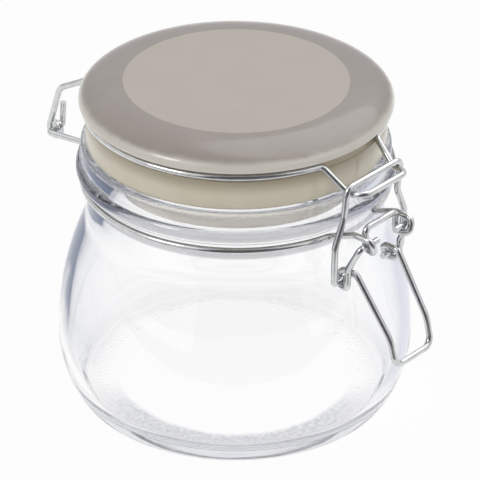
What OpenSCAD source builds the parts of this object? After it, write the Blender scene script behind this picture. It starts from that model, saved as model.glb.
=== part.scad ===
// Clip-top storage jar: a glass jar, a ceramic lid on a rubber ring, and a wire closure.
// Origin: centre of the flat base. Z is up, the clasp is at the front (-Y), the lid hinge at the rear.
// Lengths are in millimetres.

/* [Jar] */
// Widest diameter of the glass body
body_diameter = 110; // [106:0.5:116]
// Height of the glass rim above the base
rim_height = 85.8; // [82:0.1:96]
// Height at which the body is widest
widest_height = 20; // [18:0.5:24]
// Diameter of the neck, where the wire collar sits
neck_diameter = 91.2; // [88:0.2:94]
// Glass thickness of the body
wall = 3.3; // [2.6:0.1:3.8]
// Glass thickness of the floor
base_thickness = 5; // [4:0.1:7]

/* [Lid] */
// Outer diameter of the ceramic lid
lid_diameter = 95; // [93:0.5:98]
// Height of the lid's top above the glass rim
lid_rise = 19.6; // [18.5:0.1:26]
// Diameter of the flat part of the lid's top
flat_diameter = 64; // [50:1:70]
// Thickness of the lid above its hollow
lid_thickness = 7; // [5:0.1:8]
// Thickness of the rubber ring
ring_thickness = 3; // [2.6:0.1:3.6]

/* [Wire] */
// Diameter of the steel wire
wire_diameter = 2; // [1.8:0.1:2.2]
// Free gap round a wire that turns in a wire loop
running_gap = 0.3; // [0.25:0.05:0.4]

/* [Clasp] */
// How far the lever's pivot stands out from the wire collar
pivot_reach = 12.1; // [11.5:0.1:14]
// Length of the handle below the pivot
handle_drop = 36.9; // [33:0.1:42]
// Clear width between the two collar loops
loop_width = 12; // [10:0.5:15]

/* [Hinge] */
// How far the hinge pins stand behind the wire collar
hinge_reach = 18.1; // [17.5:0.1:20]
// Distance of each lid leg from the middle
hinge_half = 12; // [10:0.5:14]

/* [Hidden] */
$fn = 96;
long_arc = 14;
short_arc = 6;

// Wire sizes shared by every wire part
wr = wire_diameter / 2;
elbow_step = 0.02;
elbow_lap = 0.05;
loop_half = wire_diameter + running_gap;
loop_bend = loop_half - 0.1;
seat_gap = 0.1;
side_gap = 0.35;
pin_over = 2;
end_bend = 1.6 * wr;
root_bend = 2;
soft_bend = 4;
coil_bend = 2;

// Glass outline
body_r = body_diameter / 2;
neck_r = neck_diameter / 2;
neck_height = 21.7;
neck_start = rim_height - neck_height;
heel_r = 4.5;
low_r = 34;
blend_r = 14;
low_c = [body_r - low_r, widest_height];
heel_a = asin((widest_height - heel_r) / (low_r - heel_r));
heel_c = [low_c.x + (low_r - heel_r) * cos(heel_a), heel_r];
blend_in = neck_r + blend_r - body_r;
blend_up = neck_start - widest_height;
up_r = (pow(blend_up, 2) + pow(blend_in, 2) - pow(blend_r, 2)) / (2 * (blend_r - blend_in));
up_c = [body_r - up_r, widest_height];
blend_c = [neck_r + blend_r, neck_start];
blend_a = atan2(blend_c.y - up_c.y, blend_c.x - up_c.x);

// Bead and collar of the mouth
bead_r = 2.6;
bead_stand = 0.5;
bead_drop = 8.3;
bead_c = [neck_r + bead_stand, rim_height - bead_drop];
collar_step = 1.5;
collar_r = neck_r + collar_step;
bead_low = -180 + acos((bead_c.x - neck_r) / bead_r);
bead_top = acos((collar_r - bead_c.x) / bead_r);
rim_round = 1.35;
rim_soft = 0.5;
rim_wall = 2.7;
recess_r = collar_r - rim_wall;
seat_depth = 2.7;
seat_z = rim_height - seat_depth;
throat_wall = 4;
throat_r = neck_r - throat_wall;

// Inside of the glass
shoulder_extra = 2;
inner_blend = blend_r + shoulder_extra;
inner_up = up_r - wall;
throat_x = throat_r + inner_blend - up_c.x;
throat_z = widest_height + sqrt(pow(inner_up + inner_blend, 2) - pow(throat_x, 2));
throat_a = atan2(throat_z - up_c.y, throat_x);
inner_low = low_r - wall;
floor_r = 7;
floor_a = asin((widest_height - base_thickness - floor_r) / (inner_low - floor_r));
floor_c = [low_c.x + (inner_low - floor_r) * cos(floor_a), base_thickness + floor_r];

// Rubber ring, with room in the recess for the lid's tilt
tilt_play = 2.4;
ring_width = 2.8;
ring_out = recess_r - tilt_play;
ring_in = ring_out - ring_width;
ring_soft = 0.4;

// Lid
lid_r = lid_diameter / 2;
lid_top = rim_height + lid_rise;
flat_r = flat_diameter / 2;
crown = 5.5;
crown_step = 6;
edge_z = lid_top - crown;
lip_r = 1.1;
lip_gap = 0.7;
lid_wire_drop = 8.6;
lid_wire_z = lid_top - lid_wire_drop;
lip_z = lid_wire_z + wr + lip_gap;
groove_depth = 2.3;
groove_gap = 0.3;
groove_slope = 0.4;
groove_r = lid_r - groove_depth;
groove_low = lid_wire_z - wr - groove_gap;
band_step = 1.8;
band_r = lid_r - band_step;
flange_z = seat_z + ring_thickness;
flange_soft = 0.8;
spigot_drop = 5.4;
spigot_z = seat_z - spigot_drop;
spigot_soft = 0.9;
spigot_wall = 4.7;
hollow_r = ring_in - spigot_wall;
hollow_soft = 3;
hollow_z = lid_top - lid_thickness;

// Wire collar of the neck: ring, front arms with their loops, bridge, rear arms with the hinge pins
collar_ring = neck_r + wr + seat_gap;
collar_drop = 12.9;
collar_z = rim_height - collar_drop;
collar_front = 16;
collar_rear = 155;
collar_run = 3;
pivot_lift = 1.2;
pivot_u = collar_ring + pivot_reach;
pivot_z = collar_z + pivot_lift;
riser_x = loop_width / 2 + wr;
arm_x = riser_x + wire_diameter + side_gap;
arm_splay = 0.3;
arm_in = 4.3;
arm_bend = 3;
bridge_rise = 2;
bridge_z = pivot_z + loop_half + bridge_rise;
hinge_fall = 2.4;
hinge_side = 1.2;
hinge_v = collar_ring + hinge_reach;
hinge_z = collar_z - hinge_fall;
hinge_arm_x = hinge_half + wire_diameter + hinge_side;
hinge_stub_x = hinge_half - wire_diameter - hinge_side;
stub_rise = 8.4;
stub_lean = 0.6;

// Lever: pivot pins, eyes and handle
lever_side_gap = 0.8;
coil_gap = 0.2;
lever_x = arm_x + wire_diameter + lever_side_gap;
handle_x = lever_x - wire_diameter - coil_gap;
eye_in = 6.6;
eye_drop = 12.8;
eye_u = pivot_u - eye_in;
eye_z = pivot_z - eye_drop;
arm_end = 4.6;
leg_start = 1.3;
eye_taper = 0.2;
kink_taper = 1.3;
grip_taper = 1.5;
grip_out = 11.7;
grip_u = pivot_u + grip_out;
grip_z = pivot_z - handle_drop;
kink_in = 2.1;
kink_rise = 8.4;
kink_u = grip_u - kink_in;
kink_z = grip_z + kink_rise;
lever_pin_bend = 1.5;
lever_arm_bend = 3;
leg_bend = 2.2;
kink_bend = 12;
grip_bend = 3.2;

// Bail: pins in the lever's eyes, hips, waist and top bar
bail_side_gap = 1.6;
bail_x = lever_x + wire_diameter + bail_side_gap;
bail_top_step = 0.25;
bail_top_x = lever_x + bail_top_step;
bar_lean = 1.4;
bar_drop = 4.1;
bar_u = eye_u + bar_lean;
bar_z = lid_wire_z - bar_drop;
hip_rise = 13;
hip_splay = 0.3;
hip_out = 0.4;
hip_z = eye_z + hip_rise;
waist_rise = 21;
waist_in = 1;
waist_z = eye_z + waist_rise;
bar_bend = 2.6;
waist_bend = 5;
hip_bend = 4;
bail_pin_bend = 1.5;

// Lid wire: ring, front tongue, rear legs with their hooks.
// The tongue's nose turns with the lid just inside the bail's bar, so that the lid lifts past the bar.
lid_ring = groove_r + wr + seat_gap;
lid_front = 20;
lid_rear = 160;
run_off = 3.3;
tongue_side_gap = 0.6;
tongue_x = bail_top_x - wire_diameter - tongue_side_gap;
latch_gap = 0.4;
latch_dip = 1.4;
bar_arm = [bar_u + hinge_v, bar_z - hinge_z];
nose_arm = norm(bar_arm) - wire_diameter - latch_gap;
nose_angle = atan2(bar_arm.y, bar_arm.x) - latch_dip;
nose_u = nose_arm * cos(nose_angle) - hinge_v;
nose_z = nose_arm * sin(nose_angle) + hinge_z;
nose_bend = 3;
thigh_out = 7.7;
thigh_fall = 6.3;
knee_in = 2.4;
knee_fall = 11;
shin_rise = 1;
knee_bend = 5.5;
shin_bend = 2.5;
hook_bend = 1.2 * wr;
hook_tip = 0.1 * wr;

// Points of an arc in the outline plane
function arc(c, r, a0, a1, n) =
    [for (i = [0:n]) c + r * [cos(a0 + (a1 - a0) * i / n), sin(a0 + (a1 - a0) * i / n)]];
// Point at x, at u in front of the jar's axis, at height z
function at(x, u, z) = [x, -u, z];
// Point of a level ring, by angle from the front
function on_ring(r, a, z) = at(r * sin(a), r * cos(a), z);
// Heading along a level ring, toward growing angle
function heading(a) = [cos(a), sin(a), 0];
function unit(v) = v / norm(v);
// Any direction square to d
function across(d) = unit(cross(d, abs(d.z) < 0.9 ? [0, 0, 1] : [1, 0, 0]));
function flip(s, list) = [for (p = list) [s * p.x, p.y, p.z]];
// Turn at corner i of a path, and the length that its bend takes
function turn(p, i) = acos(max(-1, min(1, unit(p[i] - p[i - 1]) * unit(p[i + 1] - p[i]))));
function reach(p, b, i) = (i == 0 || i == len(p) - 1) ? 0 : b[i - 1] * tan(turn(p, i) / 2);

module place(x, y, z, o) {
    multmatrix([[x.x, y.x, z.x, o.x], [x.y, y.y, z.y, o.y], [x.z, y.z, z.z, o.z], [0, 0, 0, 1]])
        children();
}

// Straight wire from p to q, with a little lap into the bends at its ends
module straight(p, q, lap_p, lap_q) {
    d = unit(q - p);
    x = across(d);
    place(x, cross(d, x), d, p - d * lap_p)
        cylinder(r = wr, h = norm(q - p) + lap_p + lap_q);
}

// Bend at corner i of path p
module bend(p, i, r) {
    d = unit(p[i] - p[i - 1]);
    e = unit(p[i + 1] - p[i]);
    n = unit(e - (e * d) * d);
    start = p[i] - d * r * tan(turn(p, i) / 2);
    place(-n, d, cross(d, n), start + n * r)
        rotate_extrude(angle = turn(p, i))
            translate([r, 0])
                circle(r = wr + elbow_step);
}

// Wire through points p, with bend radius b at each inner point
module run(p, b, lap_first = 0, lap_last = 0) {
    last = len(p) - 1;
    for (i = [0:last - 1]) {
        d = unit(p[i + 1] - p[i]);
        straight(
            p[i] + d * reach(p, b, i),
            p[i + 1] - d * reach(p, b, i + 1),
            i == 0 ? lap_first : elbow_lap,
            i == last - 1 ? lap_last : elbow_lap
        );
    }
    for (i = [1:last - 1])
        bend(p, i, b[i - 1]);
}

// Part of a level ring on one side, from angle a0 to a1 off the front
module ring_side(s, r, z, a0, a1) {
    turn_from = s > 0 ? a0 - 90 : -90 - a1;
    translate([0, 0, z])
        rotate([0, 0, turn_from])
            rotate_extrude(angle = a1 - a0)
                translate([r, 0])
                    circle(r = wr + elbow_step);
}

module glass_jar() {
    outside = concat(
        [[0, 0]],
        arc(heel_c, heel_r, -90, -heel_a, short_arc),
        arc(low_c, low_r, -heel_a, 0, long_arc),
        arc(up_c, up_r, 0, blend_a, long_arc),
        arc(blend_c, blend_r, 180 + blend_a, 180, short_arc),
        arc(bead_c, bead_r, bead_low, bead_top, long_arc),
        arc([collar_r - rim_round, rim_height - rim_round], rim_round, 0, 90, short_arc)
    );
    inside = concat(
        arc([recess_r + rim_soft, rim_height - rim_soft], rim_soft, 90, 180, short_arc),
        [[recess_r, seat_z], [throat_r, seat_z]],
        arc([throat_r + inner_blend, throat_z], inner_blend, 180, 180 + throat_a, short_arc),
        arc(up_c, inner_up, throat_a, 0, long_arc),
        arc(low_c, inner_low, 0, -floor_a, short_arc),
        arc(floor_c, floor_r, -floor_a, -90, short_arc),
        [[0, base_thickness]]
    );
    color([0.84, 0.89, 0.93, 0.4])
        rotate_extrude()
            polygon(concat(outside, inside));
}

module gasket() {
    color([0.93, 0.9, 0.86])
        rotate_extrude()
            polygon([
                [ring_in, seat_z + ring_soft],
                [ring_in + ring_soft, seat_z],
                [ring_out - ring_soft, seat_z],
                [ring_out, seat_z + ring_soft],
                [ring_out, flange_z - ring_soft],
                [ring_out - ring_soft, flange_z],
                [ring_in, flange_z]
            ]);
}

module lid() {
    crown_w = lid_r - flat_r;
    crown_pts = [for (a = [90:-crown_step:0]) [flat_r + crown_w * cos(a), edge_z + crown * sin(a)]];
    outside = concat(
        [[0, lid_top]],
        crown_pts,
        arc([lid_r - lip_r, lip_z + lip_r], lip_r, 0, -90, short_arc),
        [[groove_r, lip_z], [groove_r, groove_low], [band_r, groove_low - groove_slope]],
        arc([band_r - flange_soft, flange_z + flange_soft], flange_soft, 0, -90, short_arc),
        [[ring_in, flange_z]],
        arc([ring_in - spigot_soft, spigot_z + spigot_soft], spigot_soft, 0, -90, short_arc)
    );
    inside = concat(
        arc([hollow_r + spigot_soft, spigot_z + spigot_soft], spigot_soft, -90, -180, short_arc),
        arc([hollow_r - hollow_soft, hollow_z - hollow_soft], hollow_soft, 0, 90, short_arc),
        [[0, hollow_z]]
    );
    color([0.93, 0.9, 0.82])
        rotate_extrude()
            polygon(concat(outside, inside));
}

module lid_wire_side(s) {
    front_root = on_ring(lid_ring, lid_front, lid_wire_z);
    rear_root = on_ring(lid_ring, lid_rear, lid_wire_z);
    ring_side(s, lid_ring, lid_wire_z, lid_front, lid_rear);
    run(
        flip(s, [
            front_root,
            front_root - run_off * heading(lid_front),
            at(tongue_x, nose_u, nose_z),
            at(0, nose_u, nose_z)
        ]),
        [root_bend, nose_bend],
        elbow_lap,
        elbow_lap
    );
    run(
        flip(s, [
            rear_root,
            rear_root + run_off * heading(lid_rear),
            at(hinge_half, -lid_ring - thigh_out, lid_wire_z - thigh_fall),
            at(hinge_half, -hinge_v + knee_in, lid_wire_z - knee_fall),
            at(hinge_half, -hinge_v - loop_half, hinge_z + shin_rise),
            at(hinge_half, -hinge_v - loop_half, hinge_z - loop_half),
            at(hinge_half, -hinge_v + loop_half, hinge_z - loop_half),
            at(hinge_half, -hinge_v + loop_half, hinge_z + loop_half),
            at(hinge_half, -hinge_v + hook_tip, hinge_z + loop_half)
        ]),
        [root_bend, soft_bend, knee_bend, shin_bend, loop_bend, loop_bend, hook_bend],
        elbow_lap
    );
}

module lid_wire() {
    color([0.75, 0.76, 0.78]) {
        lid_wire_side(1);
        lid_wire_side(-1);
    }
}

module neck_wire_side(s) {
    front_root = on_ring(collar_ring, collar_front, collar_z);
    rear_root = on_ring(collar_ring, collar_rear, collar_z);
    rear_off = (rear_root.x - hinge_arm_x) / -heading(collar_rear).x;
    ring_side(s, collar_ring, collar_z, collar_front, collar_rear);
    run(
        flip(s, [
            front_root,
            front_root - collar_run * heading(collar_front),
            at(arm_x + arm_splay, pivot_u - arm_in, pivot_z + loop_half),
            at(arm_x, pivot_u + loop_half, pivot_z + loop_half),
            at((arm_x + riser_x) / 2, pivot_u + loop_half, pivot_z - loop_half),
            at(riser_x, pivot_u - loop_half, pivot_z - loop_half),
            at(riser_x, pivot_u - loop_half, bridge_z),
            at(0, pivot_u - loop_half, bridge_z)
        ]),
        [root_bend, arm_bend, coil_bend, coil_bend, coil_bend, coil_bend],
        elbow_lap,
        elbow_lap
    );
    run(
        flip(s, [
            rear_root,
            rear_root + rear_off * heading(collar_rear),
            at(hinge_arm_x, -hinge_v, hinge_z),
            at(hinge_stub_x, -hinge_v, hinge_z),
            at(hinge_stub_x, -hinge_v + stub_lean, hinge_z + stub_rise)
        ]),
        [root_bend, end_bend, end_bend],
        elbow_lap
    );
}

module neck_wire() {
    color([0.75, 0.76, 0.78]) {
        neck_wire_side(1);
        neck_wire_side(-1);
    }
}

module lever_side(s) {
    run(
        flip(s, [
            at(riser_x - wr - pin_over, pivot_u, pivot_z),
            at(lever_x, pivot_u, pivot_z),
            at(lever_x, eye_u + loop_half, eye_z + arm_end),
            at(lever_x, eye_u + loop_half, eye_z - loop_half),
            at((lever_x + handle_x) / 2, eye_u - loop_half, eye_z - loop_half),
            at(handle_x, eye_u - loop_half, eye_z + loop_half),
            at(handle_x - eye_taper, eye_u + loop_half + leg_start, eye_z + loop_half),
            at(handle_x - kink_taper, kink_u, kink_z),
            at(handle_x - grip_taper, grip_u, grip_z),
            at(0, grip_u, grip_z)
        ]),
        [lever_pin_bend, lever_arm_bend, coil_bend, coil_bend, coil_bend, leg_bend, kink_bend, grip_bend],
        0,
        elbow_lap
    );
}

module lever() {
    color([0.75, 0.76, 0.78]) {
        lever_side(1);
        lever_side(-1);
    }
}

module bail_side(s) {
    run(
        flip(s, [
            at(0, bar_u, bar_z),
            at(bail_top_x, bar_u, bar_z),
            at(bail_top_x, bar_u - waist_in, waist_z),
            at(bail_x + hip_splay, eye_u + hip_out, hip_z),
            at(bail_x, eye_u, eye_z),
            at(handle_x - wr - pin_over, eye_u, eye_z)
        ]),
        [bar_bend, waist_bend, hip_bend, bail_pin_bend],
        elbow_lap,
        0
    );
}

module bail() {
    color([0.75, 0.76, 0.78]) {
        bail_side(1);
        bail_side(-1);
    }
}

glass_jar();
gasket();
lid();
lid_wire();
neck_wire();
lever();
bail();
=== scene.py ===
"""Looks of a clip-top glass jar with a glazed ceramic lid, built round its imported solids.

Lengths are in metres, in the part's own frame: Z is up, the clasp is towards -Y, the lid's hinge towards +Y.
"""

import math

import bpy
from mathutils import Matrix, Vector


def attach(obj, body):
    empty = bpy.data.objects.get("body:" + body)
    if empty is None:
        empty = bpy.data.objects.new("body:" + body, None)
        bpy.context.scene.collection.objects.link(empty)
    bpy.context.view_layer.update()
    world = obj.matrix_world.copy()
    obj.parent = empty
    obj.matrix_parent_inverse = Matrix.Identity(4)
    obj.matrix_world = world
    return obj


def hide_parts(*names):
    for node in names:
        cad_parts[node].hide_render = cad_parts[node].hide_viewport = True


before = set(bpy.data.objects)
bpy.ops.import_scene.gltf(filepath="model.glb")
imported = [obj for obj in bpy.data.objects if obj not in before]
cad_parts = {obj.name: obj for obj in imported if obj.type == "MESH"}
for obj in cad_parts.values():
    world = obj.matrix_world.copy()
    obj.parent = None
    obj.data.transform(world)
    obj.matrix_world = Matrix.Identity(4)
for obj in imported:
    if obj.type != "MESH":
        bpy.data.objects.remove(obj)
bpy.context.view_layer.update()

MM = 0.001

# Camera: where the photograph was taken from, and how it was framed
AIM = Vector((0, 0, 50 * MM))
CAMERA_AZIMUTH = -49.0
CAMERA_ELEVATION = 29.9
CAMERA_DISTANCE = 1.0
CAMERA_ROLL = 0.4
SENSOR = 36.0
LENS = 243.3
FRAME_SHIFT = (0.0095, -0.0010)
CLIP = (0.01, 50.0)

# Glass body
BODY_R = 55.0 * MM
RIM_Z = 85.8 * MM
WIDEST_Z = 20.0 * MM
WALL = 3.3 * MM
FLOOR_Z = 5.0 * MM
HEEL_R = 4.5 * MM
HEEL_START_A = -80.0
LOW_R = 34.0 * MM
NECK_R = 45.6 * MM
NECK_START_Z = RIM_Z - 21.7 * MM
SHOULDER_R = 14.0 * MM
SHOULDER_INSIDE_R = 16.0 * MM
FLOOR_ROUND = 7.0 * MM
BEAD_R = 2.6 * MM
BEAD_AT = (NECK_R + 0.5 * MM, RIM_Z - 8.3 * MM)
COLLAR_R = NECK_R + 1.5 * MM
RIM_ROUND = 0.7 * MM
RIM_SOFT = 0.5 * MM
RECESS_R = COLLAR_R - 2.7 * MM
SEAT_Z = RIM_Z - 2.7 * MM
SEAT_SOFT = 0.5 * MM
THROAT_R = NECK_R - 4.0 * MM

# Painted shade in the glass, as grey bands at the heel, under the neck wire and on the bead's upper half:
# lowest and highest point, how soft those ends are, and the share of grey
PAINTED_SHADE_BANDS = [
    (-4.0 * MM, 7.0 * MM, 4.0 * MM, 0.10),
    (69.5 * MM, 71.6 * MM, 0.5 * MM, 1.0),
    (76.6 * MM, 79.7 * MM, 0.4 * MM, 1.0),
]
PAINTED_SHADE_GREY = (0.38, 0.38, 0.41, 1)
GLASS_IOR = 1.5
GLASS_TINT = (0.57, 0.60, 0.68, 1)
GLASS_TINT_DENSITY = 5.0

# Slow waves of the inside wall, and the height and distance from the axis where they are
WAVE_HEIGHT = 0.20 * MM
WAVE_LENGTH = 21.0 * MM
WAVES_LOW = FLOOR_Z - 0.5 * MM
WAVES_HIGH = SEAT_Z - 4.0 * MM
WAVES_IN = 30.0 * MM

# Faint ripple of the whole skin
RIPPLE_SIZE = 16.0 * MM
RIPPLE_DEPTH = 0.6 * MM
RIPPLE_STRENGTH = 0.12

# Stippled ring that the jar stands on, its frosting, and the pushed-up middle of the base
PUNT_RISE = 0.5 * MM
PUNT_R = 36.0 * MM
STIPPLE_COUNT = 120
STIPPLE_DEPTH = 0.08 * MM
STIPPLE_IN = 39.4 * MM
STIPPLE_OUT = 44.2 * MM
STIPPLE_FADE = 2.0 * MM
FROST_TOP = 1.0 * MM
FROST_SIZE = 1.3 * MM
FROST_DEPTH = 0.25 * MM
FROST_STRENGTH = 0.5

# Rubber ring
RING_OUT = RECESS_R - 0.2 * MM
RING_IN = RECESS_R - 5.2 * MM
RING_THICK = 3.0 * MM
RING_SOFT = 0.45 * MM
RING_FLASH = 0.12 * MM
RUBBER_CREAM = [(0.91, 0.865, 0.78, 1), (0.95, 0.90, 0.815, 1)]
RUBBER_CLOUD_SIZE = 6.0 * MM
RUBBER_ROUGHNESS = (0.5, 0.68)
RUBBER_SHINE_SIZE = 1.2 * MM
RUBBER_GRAIN = 0.5 * MM
RUBBER_GRAIN_DEPTH = 0.05 * MM
RUBBER_GRAIN_STRENGTH = 0.2

# Ceramic lid
LID_R = 47.5 * MM
LID_TOP = RIM_Z + 19.6 * MM
FLAT_R = 32.0 * MM
CROWN = 5.5 * MM
LIP_R = 1.1 * MM
WIRE_R = 1.0 * MM
LID_WIRE_Z = LID_TOP - 8.6 * MM
LIP_Z = LID_WIRE_Z + WIRE_R + 0.7 * MM
GROOVE_R = LID_R - 3.0 * MM
GROOVE_LOW = LID_WIRE_Z - WIRE_R - 0.3 * MM
GROOVE_SOFT = 0.45 * MM
GROOVE_EDGE_A = 70.0
BAND_R = LID_R - 1.8 * MM
FLANGE_Z = SEAT_Z + RING_THICK
FLANGE_SOFT = 0.8 * MM
SPIGOT_Z = SEAT_Z - 6.2 * MM
SPIGOT_SOFT = 0.9 * MM
HOLLOW_R = RING_IN - 4.7 * MM
HOLLOW_Z = LID_TOP - 7.0 * MM
HOLLOW_SOFT = 3.0 * MM

# Printed ring on the lid's crown
PRINT_IN = 34.1 * MM
PRINT_LOW = 102.0 * MM
PRINT_EDGE = 0.22 * MM
PRINT_FADE = 0.9 * MM
PRINT_WOBBLE = 0.5 * MM
PRINT_WOBBLE_SIZE = 5.0 * MM
PRINT_STEP = 0.25

# Glaze: its tones, from one to the other where it is cloudy; the painted shade under the lip, the painted
# highlight on the lip and the painted light below the flange, and how they fade; how it freckles and peels
BAND_GLAZE = [(0.77, 0.70, 0.55, 1), (0.81, 0.74, 0.595, 1)]
DISC_GLAZE = [(0.535, 0.470, 0.408, 1), (0.560, 0.495, 0.433, 1)]
TAUPE_PRINT = [(0.345, 0.297, 0.268, 1), (0.370, 0.321, 0.290, 1)]
# Painted shade under the lip
PAINTED_SHADE_UNDER_LIP = (0.46, 0.395, 0.285, 1)
# Painted highlight on the lip
PAINTED_LIP_HIGHLIGHT = (0.79, 0.745, 0.665, 1)
# Painted light below the flange
PAINTED_LIGHT_BELOW_FLANGE = (0.96, 0.91, 0.82, 1)
FRECKLE = (0.27, 0.23, 0.19, 1)
CLOUD_SIZE = 9.0 * MM
PAINTED_SHADE_DEPTH = 5.4 * MM
LIP_FADE = 0.5 * MM
INSIDE_FADE = 0.2 * MM
FRECKLE_SIZE = 0.9 * MM
FRECKLE_RANGE = (0.74, 0.84)
FRECKLE_SHARE = 0.07
PEEL_SIZE = 2.2 * MM
PEEL_DEPTH = 0.3 * MM
PEEL_STRENGTH = 0.05
GLAZE_ROUGHNESS = (0.30, 0.40)
GLAZE_SHINE_SIZE = 3.0 * MM
GLAZE_COAT = 0.6
GLAZE_COAT_ROUGHNESS = 0.08

# Lid wire: a ring in the lid's groove, a tongue that the bail's bar lies over, and two hinge legs.
# Places are (distance from the middle plane, distance out from the jar's axis, height).
LID_RING_R = GROOVE_R + WIRE_R + 0.1 * MM
RING_FRONT_A = 20.0
RING_REAR_A = 160.0
RUN_OFF = 3.3 * MM
ROOT_BEND = 2.0 * MM
HINGE_OUT = 64.8 * MM
HINGE_Z = 70.5 * MM
HOOK_HALF = 2.3 * MM
LEG_X = 12.0 * MM
TONGUE = [
    (10.6 * MM, 52.6 * MM, 90.1 * MM),
    (9.7 * MM, 58.2 * MM, 91.0 * MM),
    (0.0, 58.2 * MM, 91.0 * MM),
]
TONGUE_BENDS = [ROOT_BEND, 4.0 * MM, 3.6 * MM]
HINGE_LEG = [
    (LEG_X, 54.0 * MM, LID_WIRE_Z - 6.3 * MM),
    (LEG_X, HINGE_OUT - 2.4 * MM, LID_WIRE_Z - 11.0 * MM),
    (LEG_X, HINGE_OUT + HOOK_HALF, HINGE_Z + 1.0 * MM),
    (LEG_X, HINGE_OUT + HOOK_HALF, HINGE_Z - HOOK_HALF),
    (LEG_X, HINGE_OUT - HOOK_HALF, HINGE_Z - HOOK_HALF),
    (LEG_X, HINGE_OUT - HOOK_HALF, HINGE_Z + HOOK_HALF),
    (LEG_X, HINGE_OUT - 0.1 * MM, HINGE_Z + HOOK_HALF),
]
HINGE_LEG_BENDS = [ROOT_BEND, 4.0 * MM, 5.5 * MM, 2.5 * MM, 2.2 * MM, 2.2 * MM, 1.2 * MM]
LID_RING_STEPS = 48
BEND_STEP = 7.5
WIRE_SIDES = 20
DRAWN_STEEL = [(0.60, 0.605, 0.61, 1), (0.72, 0.725, 0.73, 1)]
STEEL_PATCH_SIZE = 4.0 * MM
STEEL_ROUGHNESS = (0.14, 0.26)
STEEL_SHINE_SIZE = 1.1 * MM
STEEL_GRAIN = 0.35 * MM
STEEL_GRAIN_DEPTH = 0.03 * MM
STEEL_GRAIN_STRENGTH = 0.12

# How finely pieces are turned, how near points may lie, and the angle in degrees from which an edge is sharp
TURNS = 480
LID_TURNS = 256
CROWN_STEPS = 24
BASE_STEPS = 12
NEAREST = 0.002 * MM
ON_AXIS = 0.001 * MM
CLAY_EDGE = 38.0
SMOOTH_EDGE = 50.0

# Range that most of a noise texture's values lie in
NOISE_RANGE = (0.3, 0.7)

# Lamps: azimuth from the camera's, elevation, distance, width and watts
LAMPS = {
    "key_lamp": (-55, 40, 1.3, 0.4, 3.0),
    "fill_lamp": (30, 8, 1.3, 0.6, 1.9),
    "top_lamp": (140, 58, 1.5, 1.5, 7.3),
}

# Studio: soft light, the floor, a grey wall low round the set with a white sweep behind the jar, and two dark
# cards whose corners are (right, behind, up) as the camera looks at the jar
WHITE = (1, 1, 1, 1)
SOFT_LIGHT = 0.36
FLOOR_REACH = 6.0
FLOOR_GREY = (0.9, 0.9, 0.9, 1)
FLOOR_WHITE = 0.95
WALL_IN_GLASS = (0.46, 0.47, 0.52, 1)
WALL_IN_METAL = (0.64, 0.64, 0.66, 1)
WALL_RISE = (0.15, 0.60)
SWEEP = (0.5, 0.95)
ROOM_SHADE = (0.10, 0.10, 0.11, 1)
ROOM_CARD = [(-0.14, -0.3, 0.002), (0.32, -0.3, 0.002), (0.42, -0.9, 1.9), (-0.24, -0.9, 1.9)]
TABLE_SHADE = (0.22, 0.22, 0.23, 1)
TABLE_CARD = [(-0.5, -0.14, 0.002), (0.5, -0.14, 0.002), (0.5, -0.3, 0.002), (-0.5, -0.3, 0.002)]

# Dark sides of the room, which show only in light that thick glass has turned round: the side's azimuth,
# its tone, and how far from the jar's axis the floor begins and ends to take that tone
DARK_SIDES = [
    (CAMERA_AZIMUTH + 235, (0.10, 0.135, 0.235, 1), 67 * MM, 102 * MM),
    (CAMERA_AZIMUTH + 128, (0.68, 0.71, 0.79, 1), 52 * MM, 62 * MM),
]
DARK_ENDS = (0.3, 0.8)

# Grainy shade under the near half of the stand ring, which shows only through the glass: its tone, its inner
# and outer edges, how its ends fade round the ring, and the size and depth of its grain
STAND_SHADE = (0.50, 0.51, 0.56, 1)
STAND_SHADE_IN = (35.8 * MM, 38.2 * MM)
STAND_SHADE_OUT = (47.0 * MM, 52.0 * MM)
STAND_SHADE_ENDS = (0.1, 0.75)
STAND_GRAIN = 1.5 * MM
STAND_GRAIN_SHARE = (0.4, 1.0)

# Light that is caught in thick glass goes on until it is out again
MOST_BOUNCES = 32


# Outlines and turned pieces

def arc(centre, radius, start, end, steps):
    """Points of a round stretch of an outline, from one angle in degrees to another."""
    points = []
    for i in range(steps + 1):
        a = math.radians(start + (end - start) * i / steps)
        points.append((centre[0] + radius * math.cos(a), centre[1] + radius * math.sin(a)))
    return points


def without_doubles(outline):
    kept = [outline[0]]
    for point in outline[1:]:
        if math.dist(point, kept[-1]) > NEAREST:
            kept.append(point)
    return kept


def turned_piece(name, outline, around, closed=False, sharp=CLAY_EDGE):
    """A piece turned round Z from (radius, height) points that run with the solid on their left."""
    outline = without_doubles(outline)
    points, rings = [], []
    for radius, height in outline:
        if radius < ON_AXIS:
            rings.append([len(points)] * around)
            points.append((0.0, 0.0, height))
            continue
        rings.append([len(points) + j for j in range(around)])
        for j in range(around):
            a = 2 * math.pi * j / around
            points.append((radius * math.cos(a), radius * math.sin(a), height))
    pairs = list(zip(rings, rings[1:]))
    if closed:
        pairs.append((rings[-1], rings[0]))
    faces = []
    for low, high in pairs:
        for j in range(around):
            k = (j + 1) % around
            corners = [low[j], low[k], high[k], high[j]]
            faces.append(list(dict.fromkeys(corners)))
    mesh = bpy.data.meshes.new(name)
    mesh.from_pydata(points, [], faces)
    mesh.validate()
    mesh.shade_smooth()
    mesh.set_sharp_from_angle(angle=math.radians(sharp))
    piece = bpy.data.objects.new(name, mesh)
    bpy.context.scene.collection.objects.link(piece)
    return piece


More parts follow.
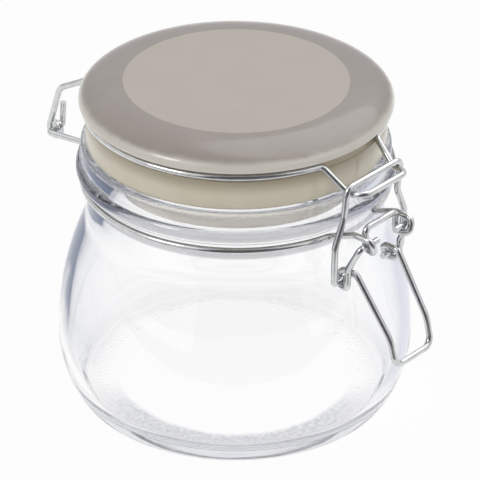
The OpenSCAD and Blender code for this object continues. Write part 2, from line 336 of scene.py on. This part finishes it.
def glass_outline():
    """Outside of the glass from the base up, then its inside from the rim down."""
    low = (BODY_R - LOW_R, WIDEST_Z)
    heel_a = math.degrees(math.asin((WIDEST_Z - HEEL_R) / (LOW_R - HEEL_R)))
    heel = (low[0] + (LOW_R - HEEL_R) * math.cos(math.radians(heel_a)), HEEL_R)
    inward = NECK_R + SHOULDER_R - BODY_R
    rise = NECK_START_Z - WIDEST_Z
    belly_r = (rise ** 2 + inward ** 2 - SHOULDER_R ** 2) / (2 * (SHOULDER_R - inward))
    belly = (BODY_R - belly_r, WIDEST_Z)
    shoulder = (NECK_R + SHOULDER_R, NECK_START_Z)
    turn = math.degrees(math.atan2(shoulder[1] - belly[1], shoulder[0] - belly[0]))
    bead_from = -180 + math.degrees(math.acos((BEAD_AT[0] - NECK_R) / BEAD_R))
    bead_to = math.degrees(math.acos((COLLAR_R - BEAD_AT[0]) / BEAD_R))
    punt = []
    for i in range(1, BASE_STEPS + 1):
        swell = (1 + math.cos(math.pi * i / BASE_STEPS)) / 2
        punt.append((PUNT_R * i / BASE_STEPS, STIPPLE_DEPTH + PUNT_RISE * swell))
    stand_width = STIPPLE_OUT - STIPPLE_IN
    stand = [(STIPPLE_IN + stand_width * i / BASE_STEPS, STIPPLE_DEPTH) for i in range(BASE_STEPS + 1)]
    outside = (
        [(0.0, STIPPLE_DEPTH + PUNT_RISE)]
        + punt
        + stand
        + arc(heel, HEEL_R, HEEL_START_A, -heel_a, 12)
        + arc(low, LOW_R, -heel_a, 0, 14)
        + arc(belly, belly_r, 0, turn, 26)
        + arc(shoulder, SHOULDER_R, 180 + turn, 180, 12)
        + arc(BEAD_AT, BEAD_R, bead_from, bead_to, 18)
        + arc((COLLAR_R - RIM_ROUND, RIM_Z - RIM_ROUND), RIM_ROUND, 0, 90, 8)
    )
    inside_r = belly_r - WALL
    reach = THROAT_R + SHOULDER_INSIDE_R - belly[0]
    throat = (
        THROAT_R + SHOULDER_INSIDE_R,
        WIDEST_Z + math.sqrt((inside_r + SHOULDER_INSIDE_R) ** 2 - reach ** 2),
    )
    throat_a = math.degrees(math.atan2(throat[1] - belly[1], reach))
    low_inside = LOW_R - WALL
    floor_a = math.degrees(math.asin((WIDEST_Z - FLOOR_Z - FLOOR_ROUND) / (low_inside - FLOOR_ROUND)))
    floor = (
        low[0] + (low_inside - FLOOR_ROUND) * math.cos(math.radians(floor_a)),
        FLOOR_Z + FLOOR_ROUND,
    )
    inside = (
        arc((RECESS_R + RIM_SOFT, RIM_Z - RIM_SOFT), RIM_SOFT, 90, 180, 4)
        + arc((RECESS_R - SEAT_SOFT, SEAT_Z + SEAT_SOFT), SEAT_SOFT, 0, -90, 4)
        + arc((THROAT_R + SEAT_SOFT, SEAT_Z - SEAT_SOFT), SEAT_SOFT, 90, 180, 4)
        + arc(throat, SHOULDER_INSIDE_R, 180, 180 + throat_a, 12)
        + arc(belly, inside_r, throat_a, 0, 24)
        + arc(low, low_inside, 0, -floor_a, 8)
        + arc(floor, FLOOR_ROUND, -floor_a, -90, 12)
        + [(floor[0] * share, FLOOR_Z) for share in (0.75, 0.5, 0.25, 0.0)]
    )
    return outside, inside


def lid_outline():
    """From the roof of the lid's hollow, round spigot, flange, groove and lip, to the crown's middle."""
    crown = []
    for i in range(CROWN_STEPS + 1):
        a = math.radians(90 * i / CROWN_STEPS)
        crown.append((FLAT_R + (LID_R - FLAT_R) * math.cos(a), LID_TOP - CROWN + CROWN * math.sin(a)))
    return (
        [(0.0, HOLLOW_Z)]
        + arc((HOLLOW_R - HOLLOW_SOFT, HOLLOW_Z - HOLLOW_SOFT), HOLLOW_SOFT, 90, 0, 10)
        + arc((HOLLOW_R + SPIGOT_SOFT, SPIGOT_Z + SPIGOT_SOFT), SPIGOT_SOFT, 180, 270, 6)
        + arc((RING_IN - SPIGOT_SOFT, SPIGOT_Z + SPIGOT_SOFT), SPIGOT_SOFT, -90, 0, 6)
        + [(RING_IN, FLANGE_Z)]
        + arc((BAND_R - FLANGE_SOFT, FLANGE_Z + FLANGE_SOFT), FLANGE_SOFT, -90, 0, 8)
        + arc((BAND_R - GROOVE_SOFT, GROOVE_LOW - GROOVE_SOFT), GROOVE_SOFT, 0, GROOVE_EDGE_A, 5)
        + arc((GROOVE_R + GROOVE_SOFT, LIP_Z - GROOVE_SOFT), GROOVE_SOFT, 180, 90, 5)
        + arc((LID_R - LIP_R, LIP_Z + LIP_R), LIP_R, -90, 0, 8)
        + crown
        + [(0.0, LID_TOP)]
    )


def ring_outline():
    """The rubber ring's section, with the thin flash that its mould leaves half way up."""
    low, high = SEAT_Z, SEAT_Z + RING_THICK
    middle = (low + high) / 2
    return (
        arc((RING_OUT - RING_SOFT, low + RING_SOFT), RING_SOFT, -90, 0, 5)
        + [
            (RING_OUT, middle - RING_FLASH),
            (RING_OUT + RING_FLASH, middle),
            (RING_OUT, middle + RING_FLASH),
        ]
        + arc((RING_OUT - RING_SOFT, high - RING_SOFT), RING_SOFT, 0, 90, 5)
        + [(RING_IN, high)]
        + arc((RING_IN + RING_SOFT, low + RING_SOFT), RING_SOFT, 180, 270, 5)
    )


# Paths of bent wire

def bent(corners, bends):
    """A wire's path through corners that are rounded to the given radii."""
    path = [corners[0]]
    for before, corner, after, radius in zip(corners, corners[1:], corners[2:], bends):
        come, go = (corner - before).normalized(), (after - corner).normalized()
        turn = come.angle(go)
        inward = (go - come * go.dot(come)).normalized()
        centre = corner - come * (radius * math.tan(turn / 2)) + inward * radius
        steps = max(3, math.ceil(math.degrees(turn) / BEND_STEP))
        for i in range(steps + 1):
            a = turn * i / steps
            path.append(centre - inward * (radius * math.cos(a)) + come * (radius * math.sin(a)))
    path.append(corners[-1])
    return path


def lid_wire_path():
    """From the hook of one hinge leg round the lid to the other, by way of the tongue's nose."""
    def on_ring(a):
        a = math.radians(a)
        return Vector((LID_RING_R * math.sin(a), -LID_RING_R * math.cos(a), LID_WIRE_Z))

    def along_ring(a):
        a = math.radians(a)
        return Vector((math.cos(a), math.sin(a), 0))

    front, rear = on_ring(RING_FRONT_A), on_ring(RING_REAR_A)
    tongue = [front, front - along_ring(RING_FRONT_A) * RUN_OFF] + [Vector((x, -u, z)) for x, u, z in TONGUE]
    leg = [rear, rear + along_ring(RING_REAR_A) * RUN_OFF] + [Vector((x, v, z)) for x, v, z in HINGE_LEG]
    span = RING_FRONT_A - RING_REAR_A
    ring = [on_ring(RING_REAR_A + span * i / LID_RING_STEPS) for i in range(1, LID_RING_STEPS)]
    half = list(reversed(bent(leg, HINGE_LEG_BENDS))) + ring + bent(tongue, TONGUE_BENDS)
    return half + [Vector((-p.x, p.y, p.z)) for p in reversed(half[:-1])]


def path_piece(name, path):
    mesh = bpy.data.meshes.new(name)
    mesh.from_pydata(path, [(i, i + 1) for i in range(len(path) - 1)], [])
    piece = bpy.data.objects.new(name, mesh)
    bpy.context.scene.collection.objects.link(piece)
    return piece


# Geometry Nodes: wire along a path, what repeats round the base, and the waves of pressed glass

class Tree:
    """A node tree in the making, with short ways to add a node and join its sockets."""

    def __init__(self, tree):
        self.tree = tree

    def add(self, kind, inputs=None, **settings):
        node = self.tree.nodes.new(kind)
        for key, value in settings.items():
            setattr(node, key, value)
        self.fill(node, inputs or {})
        return node

    def fill(self, node, inputs):
        """Gives a node's sockets their values, or joins them to other nodes."""
        for key, value in inputs.items():
            socket = node.inputs[key]
            if isinstance(value, bpy.types.NodeSocket):
                self.tree.links.new(value, socket)
            else:
                socket.default_value = value

    def math(self, operation, a, b=0.0):
        return self.add("ShaderNodeMath", {0: a, 1: b}, operation=operation).outputs[0]

    def from_axis(self, x, y):
        """Distance from the jar's axis."""
        return self.math("SQRT", self.math("ADD", self.math("MULTIPLY", x, x), self.math("MULTIPLY", y, y)))

    def smooth(self, value, low, high):
        node = self.add(
            "ShaderNodeMapRange",
            {"Value": value, "From Min": low, "From Max": high},
            interpolation_type="SMOOTHSTEP",
        )
        return node.outputs["Result"]


def pressed_glass_tree(material):
    """Raises the stippled ring under the base and puts slow waves on the inside wall."""
    group = bpy.data.node_groups.new("pressed_glass", "GeometryNodeTree")
    face = group.interface
    face.new_socket("Geometry", in_out="INPUT", socket_type="NodeSocketGeometry")
    for label in ("Count", "Depth", "Inner Radius", "Outer Radius", "Wave Height", "Wave Length"):
        face.new_socket(label, in_out="INPUT", socket_type="NodeSocketFloat")
    face.new_socket("Geometry", in_out="OUTPUT", socket_type="NodeSocketGeometry")
    t = Tree(group)
    given = t.add("NodeGroupInput").outputs
    place = t.add("GeometryNodeInputPosition").outputs[0]
    x, y, z = t.add("ShaderNodeSeparateXYZ", {0: place}).outputs
    radius = t.from_axis(x, y)
    middle = t.math("MULTIPLY", t.math("ADD", given["Inner Radius"], given["Outer Radius"]), 0.5)
    outer_row = t.math("GREATER_THAN", radius, middle)
    turn = t.math("MULTIPLY", t.math("ARCTAN2", y, x), given["Count"])
    wave = t.math("COSINE", t.math("ADD", turn, t.math("MULTIPLY", outer_row, math.pi)))
    rib = t.math("MAXIMUM", wave, 0.0)
    width = t.math("SUBTRACT", given["Outer Radius"], given["Inner Radius"])
    across = t.math("DIVIDE", t.math("SUBTRACT", radius, given["Inner Radius"]), width)
    rows = t.math("ABSOLUTE", t.math("SINE", t.math("MULTIPLY", across, 2 * math.pi)))
    within = t.math("MULTIPLY", t.math("GREATER_THAN", across, 0.0), t.math("LESS_THAN", across, 1.0))
    below = t.math("LESS_THAN", z, FLOOR_Z / 2)
    drop = t.math("MULTIPLY", t.math("MULTIPLY", rib, rows), t.math("MULTIPLY", within, below))
    lowered = t.math("MULTIPLY", t.math("MULTIPLY", drop, given["Depth"]), -1.0)
    down = t.add("ShaderNodeCombineXYZ", {2: lowered})
    ribbed = t.add("GeometryNodeSetPosition", {"Geometry": given["Geometry"], "Offset": down.outputs[0]})
    inside = t.add("GeometryNodeInputNamedAttribute", {"Name": "inside"}, data_type="FLOAT").outputs[0]
    noise = t.add(
        "ShaderNodeTexNoise",
        {"Vector": place, "Scale": t.math("DIVIDE", 1.0, given["Wave Length"]), "Detail": 1.0},
    ).outputs[0]
    swell = t.math("MULTIPLY", t.math("SUBTRACT", noise, 0.5), t.math("MULTIPLY", inside, 2.0))
    normal = t.add("GeometryNodeInputNormal").outputs[0]
    wave_height = t.math("MULTIPLY", swell, given["Wave Height"])
    push = t.add("ShaderNodeVectorMath", {0: normal, "Scale": wave_height}, operation="SCALE")
    waved = t.add("GeometryNodeSetPosition", {"Geometry": ribbed.outputs[0], "Offset": push.outputs[0]})
    real = t.add("GeometryNodeRealizeInstances", {"Geometry": waved.outputs[0]})
    coated = t.add("GeometryNodeSetMaterial", {"Geometry": real.outputs[0], "Material": material})
    t.add("NodeGroupOutput", {"Geometry": coated.outputs[0]})
    return group


def wire_tree(material):
    """Sweeps a round wire along a path and closes its ends."""
    group = bpy.data.node_groups.new("swept_wire", "GeometryNodeTree")
    face = group.interface
    face.new_socket("Geometry", in_out="INPUT", socket_type="NodeSocketGeometry")
    face.new_socket("Wire Radius", in_out="INPUT", socket_type="NodeSocketFloat")
    face.new_socket("Sides", in_out="INPUT", socket_type="NodeSocketInt")
    face.new_socket("Geometry", in_out="OUTPUT", socket_type="NodeSocketGeometry")
    t = Tree(group)
    given = t.add("NodeGroupInput").outputs
    path = t.add("GeometryNodeMeshToCurve", {"Mesh": given["Geometry"]})
    section = t.add(
        "GeometryNodeCurvePrimitiveCircle",
        {"Resolution": given["Sides"], "Radius": given["Wire Radius"]},
    )
    swept = t.add(
        "GeometryNodeCurveToMesh",
        {"Curve": path.outputs[0], "Profile Curve": section.outputs[0], "Fill Caps": True},
    )
    real = t.add("GeometryNodeRealizeInstances", {"Geometry": swept.outputs[0]})
    coated = t.add("GeometryNodeSetMaterial", {"Geometry": real.outputs[0], "Material": material})
    t.add("NodeGroupOutput", {"Geometry": coated.outputs[0]})
    return group


def grown(piece, group, values):
    """Runs a node group over a piece and keeps the result as the piece's own plain mesh."""
    modifier = piece.modifiers.new(group.name, "NODES")
    modifier.node_group = group
    for item in group.interface.items_tree:
        if item.in_out == "INPUT" and item.name in values:
            modifier[item.identifier] = values[item.name]
    bpy.context.view_layer.update()
    shape = piece.evaluated_get(bpy.context.evaluated_depsgraph_get())
    mesh = bpy.data.meshes.new_from_object(shape)
    piece.modifiers.remove(modifier)
    piece.data = mesh
    return piece


# Finishes

def finish_named(name):
    material = bpy.data.materials.new(name)
    material.use_nodes = True
    t = Tree(material.node_tree)
    return material, t, material.node_tree.nodes["Principled BSDF"]


def blended(t, share, first, second):
    """Colour that goes from the first to the second as share goes from 0 to 1."""
    return t.add("ShaderNodeMix", {0: share, 6: first, 7: second}, data_type="RGBA").outputs[2]


def grain(t, place, size, detail=2.0):
    """Noise whose lumps are about size across."""
    return t.add("ShaderNodeTexNoise", {"Vector": place, "Scale": 1.0 / size, "Detail": detail}).outputs[0]


def bumped(t, height, strength, distance, under=None):
    """Normal of a bumped skin, on top of the bumps under it where those are given."""
    node = t.add("ShaderNodeBump", {"Height": height, "Strength": strength, "Distance": distance})
    if under is not None:
        t.fill(node, {"Normal": under})
    return node.outputs[0]


def spread(t, value, low, high):
    """Noise about 0.5 as a value between low and high."""
    least, most = NOISE_RANGE
    node = t.add(
        "ShaderNodeMapRange",
        {"Value": value, "From Min": least, "From Max": most, "To Min": low, "To Max": high},
    )
    return node.outputs["Result"]


def clear_glass():
    material, t, skin = finish_named("clear_glass")
    place = t.add("ShaderNodeTexCoord").outputs["Object"]
    x, y, height = t.add("ShaderNodeSeparateXYZ", {0: place}).outputs
    radius = t.from_axis(x, y)
    # Painted shade: grey bands mixed into the glass's colour, only out near the wall
    grey = 0.0
    for low, high, soft, share in PAINTED_SHADE_BANDS:
        from_low = t.smooth(height, low - soft, low + soft)
        to_high = t.math("SUBTRACT", 1.0, t.smooth(height, high - soft, high + soft))
        grey = t.math("ADD", grey, t.math("MULTIPLY", t.math("MULTIPLY", from_low, to_high), share))
    grey = t.math("MULTIPLY", grey, t.smooth(radius, STIPPLE_IN, STIPPLE_OUT + STIPPLE_FADE))
    low_down = t.math("LESS_THAN", height, FROST_TOP)
    stand = t.math("MULTIPLY", low_down, t.smooth(radius, STIPPLE_IN - STIPPLE_FADE, STIPPLE_IN))
    frosted = t.math("MULTIPLY", grain(t, place, FROST_SIZE, 1.0), stand)
    ripple = bumped(t, grain(t, place, RIPPLE_SIZE, 1.0), RIPPLE_STRENGTH, RIPPLE_DEPTH)
    t.fill(skin, {
        "Base Color": blended(t, grey, WHITE, PAINTED_SHADE_GREY),
        "Roughness": 0.0,
        "IOR": GLASS_IOR,
        "Transmission Weight": 1.0,
        "Normal": bumped(t, frosted, FROST_STRENGTH, FROST_DEPTH, ripple),
    })
    tint = t.add("ShaderNodeVolumeAbsorption", {"Color": GLASS_TINT, "Density": GLASS_TINT_DENSITY})
    t.fill(t.tree.nodes["Material Output"], {"Volume": tint.outputs[0]})
    return material


def glazed_ceramic():
    """Cream glaze with a taupe ring printed on the crown; the print thins out at the lip."""
    material, t, skin = finish_named("cream_glaze_with_taupe_ring")
    place = t.add("ShaderNodeTexCoord").outputs["Object"]
    x, y, z = t.add("ShaderNodeSeparateXYZ", {0: place}).outputs
    radius = t.from_axis(x, y)
    wobble = t.math("SUBTRACT", grain(t, place, PRINT_WOBBLE_SIZE), 0.5)
    wobble = t.math("MULTIPLY", wobble, PRINT_WOBBLE)
    edge = t.math("ADD", radius, wobble)
    height = t.math("ADD", z, t.math("MULTIPLY", wobble, 2.0))
    printed = t.math(
        "MULTIPLY",
        t.smooth(edge, PRINT_IN - PRINT_EDGE, PRINT_IN + PRINT_EDGE),
        t.smooth(height, PRINT_LOW - PRINT_FADE, PRINT_LOW + PRINT_FADE),
    )
    top = t.smooth(z, PRINT_LOW - PRINT_FADE, PRINT_LOW + PRINT_FADE)
    cloud = spread(t, grain(t, place, CLOUD_SIZE, 3.0), 0.0, 1.0)
    # Painted shade under the lip: the band turns darker and browner towards the groove
    shade_under_lip = t.smooth(z, GROOVE_LOW - PAINTED_SHADE_DEPTH, GROOVE_LOW)
    band = blended(t, shade_under_lip, blended(t, cloud, *BAND_GLAZE), PAINTED_SHADE_UNDER_LIP)
    # Painted highlight: the lip is paler than the band
    band = blended(t, t.smooth(z, LIP_Z - LIP_FADE, LIP_Z), band, PAINTED_LIP_HIGHLIGHT)
    # Painted light: the glaze is paler below the flange, on the spigot that sits in the collar's shade
    inside = t.smooth(z, FLANGE_Z + INSIDE_FADE, FLANGE_Z - INSIDE_FADE)
    cream = blended(t, inside, blended(t, top, band, blended(t, cloud, *DISC_GLAZE)), PAINTED_LIGHT_BELOW_FLANGE)
    colour = blended(t, printed, cream, blended(t, cloud, *TAUPE_PRINT))
    freckled = t.math("MULTIPLY", t.smooth(grain(t, place, FRECKLE_SIZE, 1.0), *FRECKLE_RANGE), FRECKLE_SHARE)
    peel = t.math("ADD", grain(t, place, PEEL_SIZE), t.math("MULTIPLY", printed, PRINT_STEP))
    t.fill(skin, {
        "Base Color": blended(t, freckled, colour, FRECKLE),
        "Roughness": spread(t, grain(t, place, GLAZE_SHINE_SIZE), *GLAZE_ROUGHNESS),
        "Normal": bumped(t, peel, PEEL_STRENGTH, PEEL_DEPTH),
        "Coat Weight": GLAZE_COAT,
        "Coat Roughness": GLAZE_COAT_ROUGHNESS,
    })
    return material


def cream_rubber():
    material, t, skin = finish_named("cream_rubber")
    place = t.add("ShaderNodeTexCoord").outputs["Object"]
    cloud = spread(t, grain(t, place, RUBBER_CLOUD_SIZE, 3.0), 0.0, 1.0)
    rough = grain(t, place, RUBBER_GRAIN, 3.0)
    t.fill(skin, {
        "Base Color": blended(t, cloud, *RUBBER_CREAM),
        "Roughness": spread(t, grain(t, place, RUBBER_SHINE_SIZE), *RUBBER_ROUGHNESS),
        "Normal": bumped(t, rough, RUBBER_GRAIN_STRENGTH, RUBBER_GRAIN_DEPTH),
    })
    return material


def bright_wire():
    """Drawn steel wire: bright, with a fine grain and a few duller patches."""
    material, t, skin = finish_named("bright_drawn_wire")
    place = t.add("ShaderNodeTexCoord").outputs["Object"]
    patch = spread(t, grain(t, place, STEEL_PATCH_SIZE, 3.0), 0.0, 1.0)
    rough = grain(t, place, STEEL_GRAIN, 3.0)
    t.fill(skin, {
        "Base Color": blended(t, patch, *DRAWN_STEEL),
        "Roughness": spread(t, grain(t, place, STEEL_SHINE_SIZE, 4.0), *STEEL_ROUGHNESS),
        "Normal": bumped(t, rough, STEEL_GRAIN_STRENGTH, STEEL_GRAIN_DEPTH),
        "Metallic": 1.0,
    })
    return material


# Pieces

def dress_node(node, material):
    """Gives a solid that is shown as it is its finish."""
    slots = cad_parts[node].data.materials
    slots.clear()
    slots.append(material)


def stand_for(piece, node, body, material):
    if not piece.data.materials:
        piece.data.materials.append(material)
    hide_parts(node)
    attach(piece, body)


def make_jar(material):
    outside, inside = glass_outline()
    jar = turned_piece("glass_body", outside + inside, TURNS, sharp=SMOOTH_EDGE)
    mark = jar.data.attributes.new("inside", "FLOAT", "POINT")
    for v in jar.data.vertices:
        deep = WAVES_LOW < v.co.z < WAVES_HIGH and v.co.xy.length > WAVES_IN
        faces_axis = v.normal.xy.dot(v.co.xy) < 0
        mark.data[v.index].value = 1.0 if deep and faces_axis else 0.0
    grown(jar, pressed_glass_tree(material), {
        "Count": float(STIPPLE_COUNT),
        "Depth": STIPPLE_DEPTH,
        "Inner Radius": STIPPLE_IN,
        "Outer Radius": STIPPLE_OUT,
        "Wave Height": WAVE_HEIGHT,
        "Wave Length": WAVE_LENGTH,
    })
    stand_for(jar, "glass_jar", "jar", material)
    # Lamps shine through the glass
    jar.visible_shadow = False


def make_lid(material):
    lid = turned_piece("ceramic_lid", lid_outline(), LID_TURNS)
    stand_for(lid, "lid", "lid", material)


def make_ring(material):
    ring = turned_piece("rubber_ring", ring_outline(), LID_TURNS, closed=True)
    stand_for(ring, "gasket", "lid", material)


def make_lid_wire(material):
    wire = path_piece("bent_lid_wire", lid_wire_path())
    grown(wire, wire_tree(material), {"Wire Radius": WIRE_R, "Sides": WIRE_SIDES})
    wire.data.shade_smooth()
    wire.data.set_sharp_from_angle(angle=math.radians(SMOOTH_EDGE))
    stand_for(wire, "lid_wire", "lid", material)


# Studio

def towards(azimuth, elevation=0.0):
    a, e = math.radians(azimuth), math.radians(elevation)
    return Vector((math.sin(a) * math.cos(e), -math.cos(a) * math.cos(e), math.sin(e)))


def facing(t, heading, azimuth):
    """1 where a heading points straight to an azimuth, down to -1 where it points away."""
    node = t.add("ShaderNodeVectorMath", {0: heading, 1: towards(azimuth)}, operation="DOT_PRODUCT")
    return node.outputs["Value"]


def stage_finish(name):
    """A material with an empty tree."""
    material = bpy.data.materials.new(name)
    material.use_nodes = True
    material.node_tree.nodes.clear()
    return material, Tree(material.node_tree)


def make_camera():
    data = bpy.data.cameras.new("camera")
    data.sensor_width = SENSOR
    data.lens = LENS
    data.shift_x, data.shift_y = FRAME_SHIFT
    data.clip_start, data.clip_end = CLIP
    camera = bpy.data.objects.new("camera", data)
    back = towards(CAMERA_AZIMUTH, CAMERA_ELEVATION)
    camera.rotation_mode = "QUATERNION"
    camera.location = AIM + back * CAMERA_DISTANCE
    roll = Matrix.Rotation(math.radians(CAMERA_ROLL), 3, "Z")
    camera.rotation_quaternion = ((-back).to_track_quat("-Z", "Y").to_matrix() @ roll).to_quaternion()
    bpy.context.scene.collection.objects.link(camera)
    bpy.context.scene.camera = camera


def soft_lamp(name, azimuth, elevation, distance, width, watts):
    """A round lamp aimed at the jar, which isn't seen through the glass."""
    data = bpy.data.lights.new(name, "AREA")
    data.shape = "DISK"
    data.size = width
    data.energy = watts
    lamp = bpy.data.objects.new(name, data)
    back = towards(azimuth, elevation)
    lamp.location = AIM + back * distance
    lamp.rotation_mode = "QUATERNION"
    lamp.rotation_quaternion = (-back).to_track_quat("-Z", "Y")
    lamp.visible_transmission = False
    bpy.context.scene.collection.objects.link(lamp)


def seen_share(t):
    """1 for what the camera, a mirror or glass looks at, and 0 for soft light."""
    path = t.add("ShaderNodeLightPath").outputs
    seen = t.math("MAXIMUM", path["Is Camera Ray"], path["Is Glossy Ray"])
    return t.math("MAXIMUM", seen, path["Is Transmission Ray"])


def make_world():
    """White to the camera; mirrors and glass also find a grey wall low round the set.

    Behind the jar, glass finds a white sweep in place of the wall.
    """
    world = bpy.data.worlds.new("studio")
    world.use_nodes = True
    t = Tree(world.node_tree)
    heading = t.add("ShaderNodeTexCoord").outputs["Generated"]
    rise = t.add("ShaderNodeSeparateXYZ", {0: heading}).outputs[2]
    path = t.add("ShaderNodeLightPath").outputs
    through = path["Is Transmission Ray"]
    seen = seen_share(t)
    plain = t.math("MAXIMUM", path["Is Camera Ray"], t.math("SUBTRACT", 1.0, seen))
    sweep = t.math("MULTIPLY", through, t.smooth(facing(t, heading, CAMERA_AZIMUTH + 180), *SWEEP))
    above = t.math("MAXIMUM", t.smooth(rise, *WALL_RISE), t.math("MAXIMUM", plain, sweep))
    wall = blended(t, through, WALL_IN_METAL, WALL_IN_GLASS)
    level = t.add("ShaderNodeMapRange", {"Value": seen, "To Min": SOFT_LIGHT, "To Max": 1.0})
    t.fill(world.node_tree.nodes["Background"], {
        "Color": blended(t, above, wall, WHITE),
        "Strength": level.outputs["Result"],
    })
    bpy.context.scene.world = world


def floor_colour(t):
    """White, but for rays through glass: toned on the room's dark sides and shaded under the stand ring."""
    place = t.add("ShaderNodeTexCoord").outputs["Object"]
    heading = t.add("ShaderNodeVectorMath", {0: place}, operation="NORMALIZE").outputs[0]
    away = t.add("ShaderNodeVectorMath", {0: place}, operation="LENGTH").outputs["Value"]
    path = t.add("ShaderNodeLightPath").outputs
    through = path["Is Transmission Ray"]
    turned_round = t.math("MULTIPLY", through, t.math("GREATER_THAN", path["Glossy Depth"], 0.5))
    colour = WHITE
    for azimuth, tone, near, far in DARK_SIDES:
        within = t.smooth(facing(t, heading, azimuth), *DARK_ENDS)
        share = t.math("MULTIPLY", t.math("MULTIPLY", turned_round, within), t.smooth(away, near, far))
        colour = blended(t, share, colour, tone)
    ring = t.math("SUBTRACT", t.smooth(away, *STAND_SHADE_IN), t.smooth(away, *STAND_SHADE_OUT))
    near_half = t.smooth(facing(t, heading, CAMERA_AZIMUTH), *STAND_SHADE_ENDS)
    share = t.math("MULTIPLY", t.math("MULTIPLY", ring, near_half), through)
    share = t.math("MULTIPLY", share, spread(t, grain(t, place, STAND_GRAIN), *STAND_GRAIN_SHARE))
    return blended(t, share, colour, STAND_SHADE)


def flat_sheet(name, corners):
    mesh = bpy.data.meshes.new(name)
    mesh.from_pydata(corners, [], [list(range(len(corners)))])
    sheet = bpy.data.objects.new(name, mesh)
    bpy.context.scene.collection.objects.link(sheet)
    return sheet


def make_floor():
    """A pale floor, nearly white to the camera and to mirrors, and white through glass."""
    corners = [(-1, -1), (1, -1), (1, 1), (-1, 1)]
    floor = flat_sheet("floor", [(x * FLOOR_REACH, y * FLOOR_REACH, 0) for x, y in corners])
    material, t = stage_finish("pale_floor")
    matt = t.add("ShaderNodeBsdfDiffuse", {"Color": FLOOR_GREY})
    white = t.add("ShaderNodeEmission", {"Color": floor_colour(t), "Strength": 1.0})
    through = t.add("ShaderNodeLightPath").outputs["Is Transmission Ray"]
    share = t.math("MAXIMUM", t.math("MULTIPLY", seen_share(t), FLOOR_WHITE), through)
    mixed = t.add("ShaderNodeMixShader", {0: share, 1: matt.outputs[0], 2: white.outputs[0]})
    t.add("ShaderNodeOutputMaterial", {"Surface": mixed.outputs[0]})
    floor.data.materials.append(material)


def make_card(name, corners, shade):
    """A card in front of the set, which only mirrors see."""
    right, behind = towards(CAMERA_AZIMUTH + 90), towards(CAMERA_AZIMUTH + 180)
    card = flat_sheet(name, [right * r + behind * b + Vector((0, 0, up)) for r, b, up in corners])
    material, t = stage_finish(name)
    grey = t.add("ShaderNodeEmission", {"Color": shade, "Strength": 1.0})
    t.add("ShaderNodeOutputMaterial", {"Surface": grey.outputs[0]})
    card.data.materials.append(material)
    card.visible_camera = False
    card.visible_diffuse = False
    card.visible_shadow = False
    card.visible_transmission = False


def make_studio():
    make_world()
    make_floor()
    for name, (turn, elevation, distance, width, watts) in LAMPS.items():
        soft_lamp(name, CAMERA_AZIMUTH + turn, elevation, distance, width, watts)
    make_card("room_card", ROOM_CARD, ROOM_SHADE)
    make_card("table_card", TABLE_CARD, TABLE_SHADE)


bpy.context.scene.view_settings.view_transform = "Standard"
make_camera()
wire = bright_wire()
for wire_node in ("neck_wire", "lever", "bail"):
    dress_node(wire_node, wire)
make_lid_wire(wire)
make_jar(clear_glass())
make_ring(cream_rubber())
make_lid(glazed_ceramic())
make_studio()
for limit in ("max_bounces", "glossy_bounces", "transmission_bounces"):
    setattr(bpy.context.scene.cycles, limit, MOST_BOUNCES)
